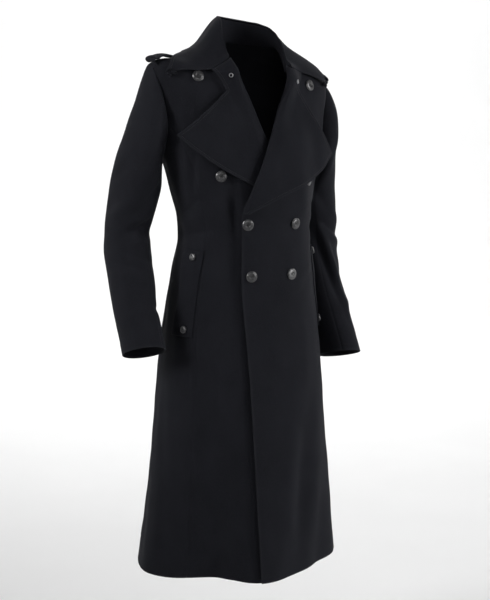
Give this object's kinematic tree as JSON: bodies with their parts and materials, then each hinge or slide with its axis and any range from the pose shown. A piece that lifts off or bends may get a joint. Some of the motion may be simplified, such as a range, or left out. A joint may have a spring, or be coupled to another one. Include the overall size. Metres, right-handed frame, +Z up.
{
  "type": "double-breasted coat",
  "caption": "Long black wool double-breasted coat in its worn shape: open hollow shell with wide notched lapels, pointed collar, shoulder straps and buttoned pocket welts, hung from the shoulders.",
  "frame": {"origin": "middle of the neck seam, where the coat hangs from the wearer's neck and shoulders", "axes": "+Z up, -Y the way the wearer faces, +X the wearer's left"},
  "size_m": [0.575, 0.4537, 1.1552],
  "materials": {
    "wool": "matt, short brushed nap",
    "horn": "polished",
    "steel": "bright"
  },
  "bodies": {
    "root": {"front_left": "wool", "front_right": "wool", "side_left": "wool", "side_right": "wool", "back_left": "wool", "back_right": "wool", "sleeve_upper_left": "wool", "sleeve_upper_right": "wool", "sleeve_under_left": "wool", "sleeve_under_right": "wool", "lapel_left": "wool", "lapel_right": "wool", "collar_stand": "wool", "collar_fall": "wool", "epaulette_left": "wool", "epaulette_right": "wool", "pocket_welt_left": "wool", "pocket_welt_right": "wool", "button_shoulder_left": "horn", "button_shoulder_right": "horn", "button_chest_left": "horn", "button_chest_right": "horn", "button_waist_left": "horn", "button_waist_right": "horn", "button_hip_left": "horn", "button_hip_right": "horn", "button_pocket_top_left": "horn", "button_pocket_top_right": "horn", "button_pocket_bottom_left": "horn", "button_pocket_bottom_right": "horn", "throat_eye_left": "steel", "throat_hook_right": "steel"}
  },
  "joints": []
}
